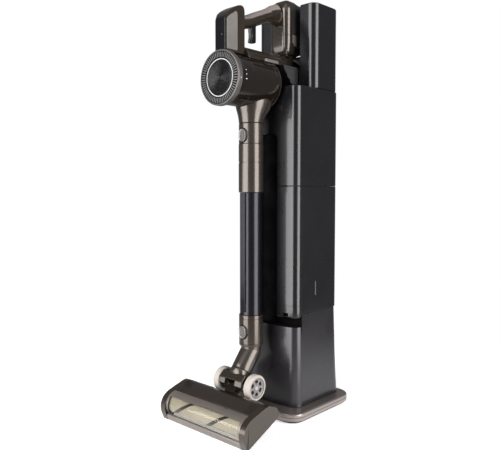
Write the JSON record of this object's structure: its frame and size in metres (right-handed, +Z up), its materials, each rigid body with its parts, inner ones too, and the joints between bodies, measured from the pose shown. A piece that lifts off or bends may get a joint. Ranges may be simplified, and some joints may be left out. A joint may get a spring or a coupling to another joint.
{
  "type": "cordless stick vacuum on dock",
  "caption": "Cordless stick vacuum with a smoked bin, wand and powered floor head, hanging on a tall self-emptying charging dock",
  "frame": {"origin": "centre of the dock's rubber sole, on the floor", "axes": "+Z up, -Y towards the user standing in front, +X to the viewer's right from the front"},
  "size_m": [0.238, 0.3627, 0.876],
  "materials": {
    "gunmetal": "metallic gunmetal-brown gloss plastic",
    "smoked_bin": "dark smoked translucent plastic",
    "soft_mauve": "soft-touch mauve-grey",
    "white_ring": "bright white ring",
    "black_gloss": "black gloss",
    "charcoal_satin": "charcoal satin with a soft sheen",
    "housing_satin": "satin grey-charcoal",
    "matte_black": "matte black",
    "base_metallic": "metallic mauve-grey",
    "rubber": "black rubber",
    "bright_trim": "bright satin silver",
    "tyre_cream": "cream soft tyre",
    "hub_grey": "grey moulded hub",
    "brush_nap": "cream nap with black helical stripes",
    "clear_window": "clear polycarbonate",
    "steel": "bright steel",
    "filter_media": "pleated filter media",
    "bag_paper": "brown paper bag",
    "circuit_board": "green laminate",
    "cell_wrap": "blue cell wrap"
  },
  "bodies": {
    "dock": {"sole": "rubber", "base_plate": "base_metallic", "lower_housing": "housing_satin", "column_lower": "charcoal_satin", "column_upper": "charcoal_satin", "post_left": "charcoal_satin", "post_right": "charcoal_satin", "cradle": "matte_black", "dust_duct": "matte_black", "bag_holder": "housing_satin", "dust_bag": "bag_paper", "fan_motor": "steel", "exhaust_filter": "filter_media", "exhaust_grille": "matte_black", "circuit_board": "circuit_board", "power_inlet": "matte_black"},
    "bag_door": {"bag_door": "charcoal_satin"},
    "dock_fan": {"dock_fan": "charcoal_satin"},
    "vacuum": {"bin_barrel": "smoked_bin", "rear_cap": "gunmetal", "cyclone_cone": "matte_black", "suction_motor": "steel", "cap_filter": "filter_media", "spine": "gunmetal", "front_block": "gunmetal", "grip": "soft_mauve", "handle_column": "gunmetal", "intake_funnel": "gunmetal", "upper_collar": "gunmetal", "wand_collar": "gunmetal", "lower_collar": "gunmetal", "wand_tube": "black_gloss", "wand_rib": "black_gloss", "elbow": "gunmetal"},
    "impeller": {"impeller": "steel"},
    "filter_cap": {"filter_cap": "soft_mauve", "cap_ring": "white_ring"},
    "trigger": {"trigger": "black_gloss"},
    "bin_latch": {"bin_latch": "charcoal_satin"},
    "battery": {"battery_case": "black_gloss", "cell_pack": "cell_wrap"},
    "battery_button": {"battery_button": "bright_trim"},
    "wand_button": {"wand_button": "bright_trim"},
    "head_button": {"head_button": "bright_trim"},
    "neck": {"yoke": "gunmetal", "axle_pin": "steel"},
    "wheel_left": {"tyre_left": "tyre_cream", "hub_left": "hub_grey"},
    "wheel_right": {"tyre_right": "tyre_cream", "hub_right": "hub_grey"},
    "head": {"head_cover": "gunmetal", "head_window": "clear_window", "front_lip": "gunmetal", "end_cap_left": "gunmetal", "end_cap_right": "gunmetal", "head_knuckle": "gunmetal", "brush_motor": "steel", "drive_belt": "rubber"},
    "brush": {"brush_roller": "brush_nap"},
    "motor_pulley": {"motor_pulley": "steel"}
  },
  "joints": [
    {"name": "bag_door_pull", "type": "slide", "parent": "dock", "child": "bag_door", "axis": [0, -1, 0], "range_m": [0, 0.012]},
    {"name": "dock_fan_spin", "type": "hinge", "parent": "dock", "child": "dock_fan", "pos_m": [0, 0.005, 0.11], "axis": [0, 0, 1], "continuous": true},
    {"name": "vacuum_lift", "type": "slide", "parent": "dock", "child": "vacuum", "axis": [0, 0, 1], "range_m": [0, 0.25]},
    {"name": "impeller_spin", "type": "hinge", "parent": "vacuum", "child": "impeller", "pos_m": [0, -0.1195, 0.69], "axis": [0, 1, 0], "continuous": true},
    {"name": "cap_turn", "type": "hinge", "parent": "vacuum", "child": "filter_cap", "pos_m": [0, -0.204, 0.69], "axis": [0, 1, 0], "range_deg": [0, 30]},
    {"name": "trigger_press", "type": "slide", "parent": "vacuum", "child": "trigger", "axis": [0, 0, 1], "range_m": [0, 0.003], "stiffness_N_per_m": 300},
    {"name": "latch_slide", "type": "slide", "parent": "vacuum", "child": "bin_latch", "axis": [0, 1, 0], "range_m": [0, 0.005], "stiffness_N_per_m": 200},
    {"name": "battery_slide", "type": "slide", "parent": "vacuum", "child": "battery", "axis": [0, 1, 0], "range_m": [0, 0.035]},
    {"name": "battery_button_press", "type": "slide", "parent": "battery", "child": "battery_button", "axis": [0, 0, -1], "range_m": [0, 0.0015], "stiffness_N_per_m": 400, "springref_m": -0.002},
    {"name": "wand_button_press", "type": "slide", "parent": "vacuum", "child": "wand_button", "axis": [0, 1, 0], "range_m": [0, 0.0018], "stiffness_N_per_m": 400, "springref_m": -0.001},
    {"name": "head_button_press", "type": "slide", "parent": "vacuum", "child": "head_button", "axis": [0, 1, 0], "range_m": [0, 0.0018], "stiffness_N_per_m": 400, "springref_m": -0.001},
    {"name": "neck_swivel", "type": "hinge", "parent": "vacuum", "child": "neck", "pos_m": [0, -0.143, 0.1003], "axis": [0, -0.6293, -0.7771], "range_deg": [-30, 30]},
    {"name": "wheel_left_spin", "type": "hinge", "parent": "neck", "child": "wheel_left", "pos_m": [-0.043, -0.1487, 0.0763], "axis": [1, 0, 0], "continuous": true},
    {"name": "wheel_right_spin", "type": "hinge", "parent": "neck", "child": "wheel_right", "pos_m": [0.043, -0.1487, 0.0763], "axis": [1, 0, 0], "continuous": true},
    {"name": "head_pitch", "type": "hinge", "parent": "neck", "child": "head", "pos_m": [0, -0.1487, 0.0763], "axis": [1, 0, 0], "range_deg": [-25, 28]},
    {"name": "brush_spin", "type": "hinge", "parent": "head", "child": "brush", "pos_m": [0, -0.23114, 0.03156], "axis": [1, 0, 0], "continuous": true},
    {"name": "pulley_spin", "type": "hinge", "parent": "head", "child": "motor_pulley", "pos_m": [0, -0.19036, 0.0469], "axis": [1, 0, 0], "continuous": true}
  ],
  "couplings": [
    {"joint": "pulley_spin", "follows": "brush_spin", "ratio": 1.6}
  ]
}
